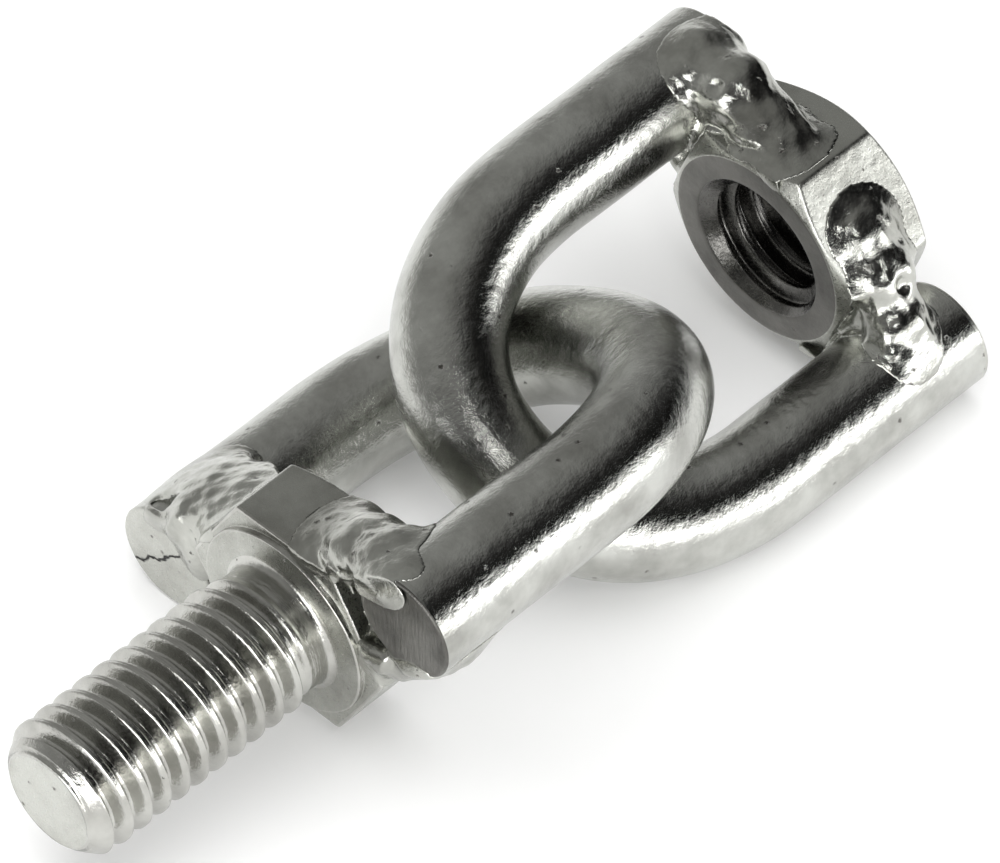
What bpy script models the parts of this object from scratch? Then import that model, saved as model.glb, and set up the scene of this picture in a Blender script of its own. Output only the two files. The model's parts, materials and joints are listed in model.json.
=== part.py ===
"""Articulated bolt-and-nut coupling: two U-bows of round bar, interlinked like chain links.

A hex bolt's head is welded between the leg ends of one bow, and a hex nut between the leg ends
of the other. Metres, +Z up. The coupling lies along X, stud tip at -X, resting on one leg of
each bow. Each link is drawn in its own frame: x along the link's axis towards the bow's crown,
y across the bow, z normal to the bow's plane.
"""

import math

import bmesh
import bpy
from mathutils import Matrix, Vector

MM = 0.001
GAP = 0.3 * MM

# Bar and bows
BAR_R = 3.75 * MM
CROWN_POWER = 2.2
BOLT_BOW_WIDTH = 26.4 * MM
BOLT_BOW_REACH = 28.6 * MM
BOLT_BOW_CROWN = 13.9 * MM
BOLT_LEG_STARTS = (0.2 * MM, 1.6 * MM)
NUT_BOW_WIDTH = 22.8 * MM
NUT_BOW_REACH = 23.7 * MM
NUT_BOW_CROWN = 14.9 * MM
NUT_LEG_STARTS = (-6.0 * MM, -6.9 * MM)

# Thread, 3/8 inch with 16 turns to the inch
THREAD_R = 4.7625 * MM
PITCH = 1.5875 * MM
THREAD_DEPTH = 0.95 * MM
NECK_R = 4.35 * MM
NECK_LENGTH = 1.5 * MM
NECK_FILLET = 0.7 * MM
FILLET_R = 4.95 * MM
FILLET_SINK = 0.15 * MM
NUT_CLEARANCE = 0.1 * MM
STUD_LENGTH = 19.8 * MM
TIP_R = 3.6 * MM
TIP_CHAMFER = 1.4 * MM

# Hexagons
HEX_FLATS = 14.29 * MM
HEX_R = HEX_FLATS / math.sqrt(3)
HEAD_HEIGHT = 6.0 * MM
WASHER_R = 6.7 * MM
WASHER_FACE = 0.45 * MM
NUT_HEIGHT = 7.7 * MM
SINK_R = 5.15 * MM
CHAMFER_R = 6.9 * MM
CHAMFER_SLOPE = math.tan(math.radians(30))
HEAD_DROP = 1.6 * MM
NUT_TURN = math.radians(8.6)

# Weld beads: centre along the link, distance across it and height off the bow's plane, half sizes
BOLT_BEADS = {"middle": 4.2 * MM, "across": 8.4 * MM, "height": 3.0 * MM,
              "size": (3.7 * MM, 3.9 * MM, 2.6 * MM)}
NUT_BEADS = {"middle": -3.6 * MM, "across": 7.8 * MM, "height": 3.8 * MM,
             "size": (3.4 * MM, 3.6 * MM, 2.1 * MM)}
BEAD_TILT = math.radians(24)

# How the two links lie: each on its lower leg, rolled opposite ways
ROLL = math.radians(30)
CROWN_SPACING = 10.4 * MM
NUT_LINK_SHIFT = -0.6 * MM
TOTAL_LENGTH = STUD_LENGTH + BOLT_BOW_REACH - CROWN_SPACING + NUT_BOW_REACH + NUT_HEIGHT

# Zinc plate: colour and roughness on bar and fasteners, and on weld metal
PLATE = ((0.62, 0.61, 0.59), 0.25)
WELD_PLATE = ((0.55, 0.54, 0.52), 0.35)

# Mesh fineness
BAR_SIDES = 16
CROWN_STEPS = 20
LEG_STEPS = 3
THREAD_SIDES = 24
THREAD_ROWS = (0.0, 0.3, 0.5, 0.7)
CREST_FLATTENING = 1.15
TURNED_SIDES = 48
BEAD_SEGMENTS = 16
BEAD_RINGS = 10
WELD_DISTANCE = 0.001 * MM
SHARP_ANGLE = math.radians(35)


def clear_scene():
    """Removes whatever the opened file holds."""
    for item in list(bpy.data.objects):
        bpy.data.objects.remove(item, do_unlink=True)


def metal(name, colour, roughness):
    """Makes a plain metallic material."""
    material = bpy.data.materials.new(name)
    material.use_nodes = True
    shader = material.node_tree.nodes["Principled BSDF"]
    shader.inputs["Base Color"].default_value = (*colour, 1)
    shader.inputs["Metallic"].default_value = 1
    shader.inputs["Roughness"].default_value = roughness
    return material


def add_object(name, mesh_maker, material=None, parent=None):
    """Turns a bmesh into a smooth-shaded object with sharp edges kept."""
    bmesh.ops.recalc_face_normals(mesh_maker, faces=mesh_maker.faces)
    mesh = bpy.data.meshes.new(name)
    mesh_maker.to_mesh(mesh)
    mesh_maker.free()
    mesh.shade_smooth()
    mesh.set_sharp_from_angle(angle=SHARP_ANGLE)
    if material:
        mesh.materials.append(material)
    result = bpy.data.objects.new(name, mesh)
    bpy.context.collection.objects.link(result)
    result.parent = parent
    return result


def as_cutter(tool):
    """Marks an object as a modelling tool that isn't part of the coupling."""
    tool.hide_render = True
    tool.display_type = "WIRE"
    return tool


def combine(target, tool, operation):
    """Adds an exact Boolean to the target."""
    modifier = target.modifiers.new(operation.lower(), "BOOLEAN")
    modifier.operation = operation
    modifier.solver = "EXACT"
    modifier.object = as_cutter(tool)


def skin_rings(maker, rings):
    """Joins rings of points into a closed skin with a fan at each end."""
    loops = [[maker.verts.new(point) for point in ring] for ring in rings]
    count = len(loops[0])
    for low, high in zip(loops, loops[1:]):
        for index in range(count):
            after = (index + 1) % count
            maker.faces.new((low[index], low[after], high[after], high[index]))
    maker.faces.new(list(reversed(loops[0])))
    maker.faces.new(loops[-1])


def turned(profile, drop=0.0):
    """Turns a profile of (x, radius) pairs about the link's axis."""
    maker = bmesh.new()
    angles = [2 * math.pi * index / TURNED_SIDES for index in range(TURNED_SIDES)]
    skin_rings(maker, [[Vector((x, radius * math.cos(angle), radius * math.sin(angle) - drop))
                        for angle in angles] for x, radius in profile])
    return maker


def hex_prism(low, high, drop=0.0, turn=0.0):
    """A hexagonal prism with two flats facing the bow's legs, or turned a little from them."""
    maker = bmesh.new()
    angles = [math.radians(60 * index + 30) + turn for index in range(6)]
    skin_rings(maker, [[Vector((x, HEX_R * math.cos(angle), HEX_R * math.sin(angle) - drop))
                        for angle in angles] for x in (low, high)])
    return maker


def thread_radius(phase):
    """The radius at a share of the pitch past the root: root, flank, flattened crest."""
    rise = 0.5 - 0.5 * math.cos(2 * math.pi * phase)
    return THREAD_R - THREAD_DEPTH * (1 - min(1.0, CREST_FLATTENING * rise))


def helix_ring(start, end, advance, phase, limit, drop):
    """Points once round a helix that starts at advance, held between the rod's ends."""
    ring = []
    for index in range(THREAD_SIDES):
        share = index / THREAD_SIDES
        x = min(max(start + advance + PITCH * share, start), end)
        low, high = limit(x)
        at_end = x in (start, end)
        radius = high if at_end else min(max(thread_radius(phase), low), high)
        angle = 2 * math.pi * share
        ring.append(Vector((x, radius * math.cos(angle), radius * math.sin(angle) - drop)))
    return ring


def threaded_rod(start, end, limit, drop=0.0):
    """A closed rod whose skin follows a helix; limit(x) gives its radius bounds at x."""
    turns = math.ceil((end - start) / PITCH) + 2
    rows = [(turn, phase) for turn in range(-1, turns) for phase in THREAD_ROWS]
    maker = bmesh.new()
    grid = []
    for turn, phase in rows:
        points = helix_ring(start, end, PITCH * (turn + phase), phase, limit, drop)
        grid.append([maker.verts.new(point) for point in points])
    last = len(grid) - 1
    for row in range(last):
        for index in range(THREAD_SIDES - 1):
            low_row, high_row = grid[row], grid[row + 1]
            maker.faces.new((low_row[index], low_row[index + 1],
                             high_row[index + 1], high_row[index]))
        after = row + len(THREAD_ROWS)
        if after < last:
            maker.faces.new((grid[row][-1], grid[after][0], grid[after + 1][0], grid[row + 1][-1]))
    bmesh.ops.remove_doubles(maker, verts=maker.verts, dist=WELD_DISTANCE)
    bmesh.ops.holes_fill(maker, edges=[edge for edge in maker.edges if edge.is_boundary])
    return maker


def stud_limits(x):
    """Radius bounds along the stud: a coned tip, then full thread, then the plain neck."""
    from_tip = x + STUD_LENGTH
    cone = TIP_R + from_tip * (THREAD_R - TIP_R) / TIP_CHAMFER
    into_neck = min(max((x + NECK_LENGTH + PITCH) / PITCH, 0.0), 1.0)
    low = NECK_R - THREAD_DEPTH * (1 - into_neck)
    high = THREAD_R + (NECK_R - THREAD_R) * into_neck
    return min(low, cone), min(high, cone)


def tap_limits(x):
    """Radius bounds along the tap that cuts the nut: a countersink cone at each face."""
    from_face = min(abs(x), abs(x + NUT_HEIGHT))
    inside = -NUT_HEIGHT < x < 0
    sink = SINK_R - from_face if inside else SINK_R
    low = max(THREAD_R - THREAD_DEPTH, sink)
    return low, max(THREAD_R + NUT_CLEARANCE, low)


def make_bolt(material, parent):
    """The bolt: chamfered tip, rolled thread, plain neck, filleted washer face and hex head."""
    stud = threaded_rod(-STUD_LENGTH, WASHER_FACE, stud_limits, HEAD_DROP)
    stud = add_object("stud_tool", stud, parent=parent)
    corner = (HEX_R - CHAMFER_R) * CHAMFER_SLOPE
    chamfer = turned([(WASHER_FACE, HEX_R + MM), (HEAD_HEIGHT - corner, HEX_R + MM),
                      (HEAD_HEIGHT - corner, HEX_R), (HEAD_HEIGHT, CHAMFER_R)], drop=HEAD_DROP)
    chamfer = add_object("head_chamfer_tool", chamfer, parent=parent)
    washer = turned([(-NECK_FILLET, NECK_R - FILLET_SINK), (0, FILLET_R), (0, WASHER_R),
                     (2 * WASHER_FACE, WASHER_R)], drop=HEAD_DROP)
    washer = add_object("washer_face_tool", washer, parent=parent)
    head = hex_prism(WASHER_FACE, HEAD_HEIGHT, HEAD_DROP)
    bolt = add_object("hex_bolt", head, material, parent)
    combine(bolt, chamfer, "INTERSECT")
    combine(bolt, washer, "UNION")
    combine(bolt, stud, "UNION")


def make_nut(material, parent):
    """The nut: a chamfered hexagon with a countersunk, threaded hole through it."""
    corner = (HEX_R - CHAMFER_R) * CHAMFER_SLOPE
    chamfer = turned([(-NUT_HEIGHT, CHAMFER_R), (-NUT_HEIGHT + corner, HEX_R),
                      (-corner, HEX_R), (0, CHAMFER_R)])
    chamfer = add_object("nut_chamfer_tool", chamfer, parent=parent)
    tap = threaded_rod(-NUT_HEIGHT - MM, MM, tap_limits)
    tap = add_object("nut_tap_tool", tap, parent=parent)
    nut = hex_prism(-NUT_HEIGHT, 0, turn=NUT_TURN)
    nut = add_object("hex_nut", nut, material, parent)
    combine(nut, chamfer, "INTERSECT")
    combine(nut, tap, "DIFFERENCE")


def bow_line(width, reach, crown, starts):
    """Centre line of a bow: a leg, the rounded crown, and the other leg."""
    straight = reach - crown
    points = []
    for step in range(LEG_STEPS):
        x = starts[0] + (straight - starts[0]) * step / LEG_STEPS
        points.append(Vector((x, -width / 2, 0)))
    for step in range(CROWN_STEPS + 1):
        angle = math.pi * step / CROWN_STEPS
        along = math.sin(angle) ** (2 / CROWN_POWER)
        across = math.copysign(abs(math.cos(angle)) ** (2 / CROWN_POWER), math.cos(angle))
        points.append(Vector((straight + crown * along, -width / 2 * across, 0)))
    for step in range(LEG_STEPS - 1, -1, -1):
        x = starts[1] + (straight - starts[1]) * step / LEG_STEPS
        points.append(Vector((x, width / 2, 0)))
    return points


def bar_rings(line, radius):
    """Rings of a round bar along a centre line that lies in the bow's plane."""
    rings = []
    for index, point in enumerate(line):
        before = line[max(index - 1, 0)]
        after = line[min(index + 1, len(line) - 1)]
        side = Vector((0, 0, 1)).cross((after - before).normalized())
        angles = [2 * math.pi * corner / BAR_SIDES for corner in range(BAR_SIDES)]
        rings.append([point + radius * (side * math.cos(angle) + Vector((0, 0, math.sin(angle))))
                      for angle in angles])
    return rings


def make_bow(name, line, material, parent):
    """A U-bow bent from round bar."""
    maker = bmesh.new()
    skin_rings(maker, bar_rings(line, BAR_R))
    add_object(name, maker, material, parent)


def blob(centre, size, tilt):
    """A rounded lump, long along the link's axis and tilted about it."""
    maker = bmesh.new()
    turn = Matrix.Rotation(tilt, 4, "X")
    place = Matrix.Translation(centre) @ turn @ Matrix.Diagonal((*size, 1))
    bmesh.ops.create_uvsphere(maker, u_segments=BEAD_SEGMENTS, v_segments=BEAD_RINGS, radius=1,
                              matrix=place)
    return maker


def make_weld(name, centre, size, tilt, cutters, material, parent):
    """A weld bead laid in the groove between a hexagon's flat and a leg."""
    weld = add_object(name, blob(centre, size, tilt), material, parent)
    for cutter in cutters:
        combine(weld, cutter, "DIFFERENCE")


def groove_cutters(prefix, line, low, high, parent, drop=0.0, turn=0.0):
    """The bar and the hexagon, both swollen by the gap, that shape the beads between them."""
    bar = bmesh.new()
    skin_rings(bar, bar_rings(line, BAR_R + GAP))
    bar = add_object(prefix + "_bar_tool", bar, parent=parent)
    block = hex_prism(low - GAP, high + GAP, turn=turn)
    swell = 1 + 2 * GAP / HEX_FLATS
    bmesh.ops.scale(block, vec=(1, swell, swell), verts=block.verts)
    bmesh.ops.translate(block, vec=(0, 0, -drop), verts=block.verts)
    block = add_object(prefix + "_hexagon_tool", block, parent=parent)
    return bar, block


def make_welds(prefix, beads, drop, near, cutters, material, parent):
    """Four beads: above and below the bow's plane on each leg; near is the -Y leg's side."""
    for side_name, side in (("near", near), ("far", -near)):
        for level_name, level in (("top", 1), ("bottom", -1)):
            centre = Vector((beads["middle"], side * beads["across"], level * beads["height"] - drop))
            tilt = -side * level * BEAD_TILT
            name = f"{prefix}_weld_{side_name}_{level_name}"
            make_weld(name, centre, beads["size"], tilt, cutters, material, parent)


def place_empty(name, place, parent=None):
    """An empty that carries a link."""
    carrier = bpy.data.objects.new(name, None)
    bpy.context.collection.objects.link(carrier)
    carrier.parent = parent
    carrier.matrix_local = place
    return carrier


def make_bolt_link(place, plate, weld_plate):
    """The bolt, its bow and the beads that join them."""
    link = place_empty("bolt_link", place)
    make_bolt(plate, link)
    line = bow_line(BOLT_BOW_WIDTH, BOLT_BOW_REACH, BOLT_BOW_CROWN, BOLT_LEG_STARTS)
    make_bow("bolt_bow", line, plate, link)
    cutters = groove_cutters("bolt", line, 0, HEAD_HEIGHT, link, drop=HEAD_DROP)
    make_welds("bolt", BOLT_BEADS, HEAD_DROP / 2, -1, cutters, weld_plate, link)


def make_nut_link(hinge, place, plate, weld_plate):
    """The nut, its bow and the beads that join them, carried by an empty on the hinge."""
    swing = place_empty("nut_swing", hinge)
    link = place_empty("nut_link", hinge.inverted() @ place, swing)
    make_nut(plate, link)
    line = bow_line(NUT_BOW_WIDTH, NUT_BOW_REACH, NUT_BOW_CROWN, NUT_LEG_STARTS)
    make_bow("nut_bow", line, plate, link)
    cutters = groove_cutters("nut", line, -NUT_HEIGHT, 0, link, turn=NUT_TURN)
    make_welds("nut", NUT_BEADS, 0.0, 1, cutters, weld_plate, link)


def main():
    """Builds the two links, rolled opposite ways with their bows interlinked."""
    clear_scene()
    plate = metal("zinc_plate", *PLATE)
    weld_plate = metal("zinc_plate_weld", *WELD_PLATE)
    bolt_x = STUD_LENGTH - TOTAL_LENGTH / 2
    crown_x = bolt_x + BOLT_BOW_REACH
    nut_x = crown_x - CROWN_SPACING + NUT_BOW_REACH
    bolt_z = BOLT_BOW_WIDTH / 2 * math.sin(ROLL) + BAR_R
    nut_z = NUT_BOW_WIDTH / 2 * math.sin(ROLL) + BAR_R
    bolt_roll = Matrix.Rotation(-ROLL, 4, "X")
    nut_roll = Matrix.Rotation(ROLL, 4, "X")
    end_for_end = Matrix.Rotation(math.pi, 4, "Z")
    make_bolt_link(Matrix.Translation((bolt_x, 0, bolt_z)) @ bolt_roll, plate, weld_plate)
    hinge = Matrix.Translation((crown_x, 0, bolt_z)) @ nut_roll
    nut_place = Matrix.Translation((nut_x, NUT_LINK_SHIFT, nut_z)) @ nut_roll @ end_for_end
    make_nut_link(hinge, nut_place, plate, weld_plate)


main()
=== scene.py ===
"""Looks of an articulated coupling: a hex bolt and a hex nut, each welded into a U-bow of bar.

The packed CAD model is the fixed frame. Every visible piece is rebuilt here as a fine mesh in
its link's own frame, in millimetres: x along the link towards the bow's crown, y across the
bow, z normal to the bow's plane. The pieces are then dressed in bright zinc plate.
"""

from __future__ import annotations

import json
import logging
import math
from dataclasses import dataclass, field
from enum import Enum, IntEnum

import bmesh
import bpy
import numpy as np
from mathutils import Matrix, Vector


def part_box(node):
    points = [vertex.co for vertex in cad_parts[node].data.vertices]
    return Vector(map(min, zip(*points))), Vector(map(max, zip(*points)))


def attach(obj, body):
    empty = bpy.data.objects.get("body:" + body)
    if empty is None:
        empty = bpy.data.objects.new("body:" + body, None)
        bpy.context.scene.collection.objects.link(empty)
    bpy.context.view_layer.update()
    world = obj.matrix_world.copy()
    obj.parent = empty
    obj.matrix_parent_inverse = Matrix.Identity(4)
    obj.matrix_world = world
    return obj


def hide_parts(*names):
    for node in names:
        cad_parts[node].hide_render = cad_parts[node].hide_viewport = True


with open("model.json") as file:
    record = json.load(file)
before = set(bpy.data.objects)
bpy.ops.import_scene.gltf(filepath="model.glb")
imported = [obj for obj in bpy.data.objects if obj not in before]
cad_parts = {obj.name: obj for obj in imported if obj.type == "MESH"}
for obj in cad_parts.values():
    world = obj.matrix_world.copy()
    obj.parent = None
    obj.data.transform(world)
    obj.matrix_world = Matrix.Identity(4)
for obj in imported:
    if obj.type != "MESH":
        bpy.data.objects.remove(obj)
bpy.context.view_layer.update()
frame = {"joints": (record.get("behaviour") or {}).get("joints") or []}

LOG = logging.getLogger("coupling")
MM = 0.001
SEED = 20
QUARTER_TURN = math.pi / 2
CHAMFER_SLOPE = math.tan(math.radians(30))
Array = np.ndarray


class Body(Enum):
    """The two rigid links of the coupling."""

    BOLT = "bolt_link"
    NUT = "nut_link"


class Slot(Enum):
    """The record's material slots."""

    FASTENER = "fastener_zinc"
    BAR = "bar_zinc"
    WELD = "weld_zinc"


# ---------------------------------------------------------------- colours and nodes


def linear(code: str) -> tuple[float, float, float, float]:
    """Turns an sRGB hex colour into linear RGBA.

    Args:
        code: six hex digits, such as "C8C4BC".

    Returns:
        Linear red, green and blue, and an alpha of 1.
    """
    parts = [int(code[start:start + 2], 16) / 255 for start in (0, 2, 4)]
    red, green, blue = [part / 12.92 if part <= 0.04045 else ((part + 0.055) / 1.055) ** 2.4
                        for part in parts]
    return red, green, blue, 1.0


def add_node(tree: bpy.types.NodeTree, kind: str, settings: dict | None = None,
             values: dict | None = None, links: dict | None = None) -> bpy.types.Node:
    """Adds a node with its settings, its unlinked values and the links into it.

    Args:
        tree: the node tree to add to.
        kind: the node's type name without "ShaderNode".
        settings: attributes of the node itself.
        values: input name or number to value.
        links: input name or number to the socket that feeds it.

    Returns:
        The new node.
    """
    node = tree.nodes.new("ShaderNode" + kind)
    for name, value in (settings or {}).items():
        setattr(node, name, value)
    for name, value in (values or {}).items():
        node.inputs[name].default_value = value
    for name, socket in (links or {}).items():
        tree.links.new(socket, node.inputs[name])
    return node


def set_ramp(node: bpy.types.Node, stops: list[tuple[float, tuple]]) -> bpy.types.Node:
    """Sets a colour ramp's stops.

    Args:
        node: a ValToRGB node.
        stops: position and RGBA of each stop, in order.

    Returns:
        The same node.
    """
    elements = node.color_ramp.elements
    while len(elements) < len(stops):
        elements.new(0.5)
    for element, (position, colour) in zip(elements, stops):
        element.position = position
        element.color = colour
    return node


# ---------------------------------------------------------------- finishes


@dataclass(frozen=True)
class Crack:
    """A thin crack that wanders across an end. Sizes are in millimetres.

    Fields:
        across_y: y of the direction that it is crossed in.
        across_z: z of that direction.
        offset: how far along that direction it lies.
        waves: how many times it bends in a millimetre.
        wander: how far it bends.
        core: half the width that is fully open.
        rim: half the width that is open at all.
        depth: how far it is sunk.
    """

    across_y: float
    across_z: float
    offset: float
    waves: float = 0.9
    wander: float = 1.1
    core: float = 0.04
    rim: float = 0.13
    depth: float = 0.15


@dataclass(frozen=True)
class ZincPlate:
    """Bright electroplated zinc over steel: a mirror with a fine orange-peel grain and pits.

    Zinc takes the shape of what it covers, so the steel's history shows through: drawn bar is
    glossy with small pits, a forged flat is satin, a rolled thread carries fine lines along its
    helix, and a weld is glassy over frozen ripples.

    Fields:
        name: the finish's name.
        tone: the metal's colour where the plate is thick.
        shade: its colour where the plate is thin.
        roughness: the middle of its roughness.
        roughness_spread: how far the grain moves the roughness either way.
        cloud_mm: size of the slow changes of tone.
        grain_mm: size of the plate's crystals, as coarse as they need to be to show.
        grain_depth_mm: their height.
        pit_mm: spacing of the pits.
        pit_share: a pit's size, as a share of that spacing.
        pit_depth_mm: a pit's depth.
        line_mm: width of the tool lines, or 0 for none.
        line_depth_mm: their depth.
        line_axis: 1 on each axis that the lines cross, 0 along the lines.
        crack: the crack across it, or None.
        peel_ratio: the orange peel's size, as a multiple of the grain's.
        peel_depth_ratio: its depth, as a multiple of the grain's.
        line_stretch: how many times longer than wide a tool line is.
    """

    name: str
    tone: str
    shade: str
    roughness: float
    roughness_spread: float = 0.08
    cloud_mm: float = 4.0
    grain_mm: float = 0.22
    grain_depth_mm: float = 0.010
    pit_mm: float = 1.6
    pit_share: float = 0.06
    pit_depth_mm: float = 0.04
    line_mm: float = 0.0
    line_depth_mm: float = 0.0
    line_axis: tuple[float, float, float] = (1.0, 0.0, 0.0)
    crack: Crack | None = None
    peel_ratio: float = 4.5
    peel_depth_ratio: float = 2.2
    line_stretch: float = 14

    def build(self) -> bpy.types.Material:
        """Makes the node material.

        Returns:
            The material, named for the finish.
        """
        material = bpy.data.materials.new(self.name)
        material.use_nodes = True
        tree = material.node_tree
        shader = tree.nodes["Principled BSDF"]
        shader.inputs["Metallic"].default_value = 1.0
        place = add_node(tree, "TexCoord").outputs["Object"]

        # Clouds: slow changes of tone where the plate is thicker or thinner.
        cloud = add_node(tree, "TexNoise", None,
                         {"Scale": 1 / (self.cloud_mm * MM), "Detail": 4.0, "Roughness": 0.6},
                         {"Vector": place})
        tone = add_node(tree, "ValToRGB", links={"Fac": cloud.outputs["Fac"]})
        set_ramp(tone, [(0.30, linear(self.shade)), (0.62, linear(self.tone))])
        # Grain: the crystals of the plate, drawn at the size at which they show.
        grain = add_node(tree, "TexNoise", None,
                         {"Scale": 1 / (self.grain_mm * MM), "Detail": 3.0, "Roughness": 0.7},
                         {"Vector": place})
        pit = self._add_pits(tree, place, grain)
        stain = add_node(tree, "MixRGB", None, {"Color2": linear("6A6763")},
                         {"Fac": pit, "Color1": tone.outputs["Color"]})
        tree.links.new(stain.outputs["Color"], shader.inputs["Base Color"])
        rough = add_node(tree, "MapRange", None,
                         {"From Min": 0.3, "From Max": 0.7,
                          "To Min": self.roughness - self.roughness_spread,
                          "To Max": self.roughness + self.roughness_spread},
                         {"Value": grain.outputs["Fac"]})
        tree.links.new(rough.outputs["Result"], shader.inputs["Roughness"])

        normal = self._add_relief(tree, place, grain, pit)
        if self.line_mm:
            normal = self._add_lines(tree, place, normal)
        if self.crack:
            normal = self._add_crack(tree, place, stain, normal)
        tree.links.new(normal, shader.inputs["Normal"])
        return material

    def _add_pits(self, tree: bpy.types.NodeTree, place: bpy.types.NodeSocket,
                  grain: bpy.types.Node) -> bpy.types.NodeSocket:
        """Adds sparse pits, where bubbles sat in the bath.

        Args:
            tree: the material's tree.
            place: object coordinates.
            grain: the grain's noise, which makes the pits uneven.

        Returns:
            1 in a pit, 0 outside.
        """
        bend = self.grain_mm * 3 * MM
        bent = add_node(tree, "VectorMath", {"operation": "MULTIPLY_ADD"}, {1: (bend,) * 3},
                        {0: grain.outputs["Color"], 2: place})
        cells = add_node(tree, "TexVoronoi", {"feature": "F1"}, {"Scale": 1 / (self.pit_mm * MM)},
                         {"Vector": bent.outputs["Vector"]})
        rim = self.pit_share * 2.2
        floor = rim * 0.35
        pit = add_node(tree, "MapRange", {"interpolation_type": "SMOOTHSTEP"},
                       {"From Min": floor, "From Max": rim, "To Min": 1.0, "To Max": 0.0},
                       {"Value": cells.outputs["Distance"]})
        return pit.outputs["Result"]

    def _add_relief(self, tree: bpy.types.NodeTree, place: bpy.types.NodeSocket,
                    grain: bpy.types.Node, pit: bpy.types.NodeSocket) -> bpy.types.NodeSocket:
        """Adds the relief of the grain, the orange peel and the pits.

        Args:
            tree: the material's tree.
            place: object coordinates.
            grain: the grain's noise.
            pit: 1 in a pit, 0 outside.

        Returns:
            The normal.
        """
        fine = add_node(tree, "Bump", None, {"Distance": self.grain_depth_mm * MM},
                        {"Height": grain.outputs["Fac"]})
        peel = add_node(tree, "TexNoise", None,
                        {"Scale": 1 / (self.grain_mm * self.peel_ratio * MM), "Detail": 2.0},
                        {"Vector": place})
        peel_depth = self.grain_depth_mm * self.peel_depth_ratio * MM
        orange = add_node(tree, "Bump", None, {"Distance": peel_depth},
                          {"Height": peel.outputs["Fac"], "Normal": fine.outputs["Normal"]})
        dimple = add_node(tree, "Bump", {"invert": True}, {"Distance": self.pit_depth_mm * MM},
                          {"Height": pit, "Normal": orange.outputs["Normal"]})
        for bump in (fine, orange, dimple):
            bump.inputs["Strength"].default_value = 1.0
        return dimple.outputs["Normal"]

    def _add_lines(self, tree: bpy.types.NodeTree, place: bpy.types.NodeSocket,
                   normal: bpy.types.NodeSocket) -> bpy.types.NodeSocket:
        """Adds tool lines: noise drawn out along the direction of working.

        Args:
            tree: the material's tree.
            place: object coordinates.
            normal: the normal so far.

        Returns:
            The normal with the lines.
        """
        long = self.line_mm * self.line_stretch * MM
        squeeze = tuple(1 / (self.line_mm * MM) if part else 1 / long for part in self.line_axis)
        drawn = add_node(tree, "Mapping", None, {"Scale": squeeze}, {"Vector": place})
        lines = add_node(tree, "TexNoise", None, {"Scale": 1.0, "Detail": 3.0},
                         {"Vector": drawn.outputs["Vector"]})
        bump = add_node(tree, "Bump", None,
                        {"Strength": 1.0, "Distance": self.line_depth_mm * MM},
                        {"Height": lines.outputs["Fac"], "Normal": normal})
        return bump.outputs["Normal"]

    def _add_crack(self, tree: bpy.types.NodeTree, place: bpy.types.NodeSocket,
                   stain: bpy.types.Node, normal: bpy.types.NodeSocket) -> bpy.types.NodeSocket:
        """Adds a thin wandering crack: dark, and sunk into the metal.

        Args:
            tree: the material's tree.
            place: object coordinates.
            stain: the last node that changes the colour.
            normal: the normal so far.

        Returns:
            The normal with the crack.
        """
        crack = self.crack
        shift = add_node(tree, "TexNoise", None, {"Scale": crack.waves / MM, "Detail": 2.0},
                         {"Vector": place})
        bend = crack.wander * MM
        wander = add_node(tree, "VectorMath", {"operation": "MULTIPLY_ADD"},
                          {1: (0.0, bend, bend)}, {0: shift.outputs["Color"], 2: place})
        across = add_node(tree, "VectorMath", {"operation": "DOT_PRODUCT"},
                          {1: (0.0, crack.across_y, crack.across_z)},
                          {0: wander.outputs["Vector"]})
        away = add_node(tree, "Math", {"operation": "SUBTRACT"}, {1: crack.offset * MM},
                        {0: across.outputs["Value"]})
        gap = add_node(tree, "Math", {"operation": "ABSOLUTE"}, None, {0: away.outputs["Value"]})
        open_share = add_node(tree, "MapRange", {"interpolation_type": "SMOOTHSTEP"},
                              {"From Min": crack.core * MM, "From Max": crack.rim * MM,
                               "To Min": 1.0, "To Max": 0.0}, {"Value": gap.outputs["Value"]})
        dark = add_node(tree, "MixRGB", None, {"Color2": linear("151413")},
                        {"Fac": open_share.outputs["Result"], "Color1": stain.outputs["Color"]})
        shader = tree.nodes["Principled BSDF"]
        tree.links.new(dark.outputs["Color"], shader.inputs["Base Color"])
        bump = add_node(tree, "Bump", {"invert": True},
                        {"Strength": 1.0, "Distance": crack.depth * MM},
                        {"Height": open_share.outputs["Result"], "Normal": normal})
        return bump.outputs["Normal"]


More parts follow.
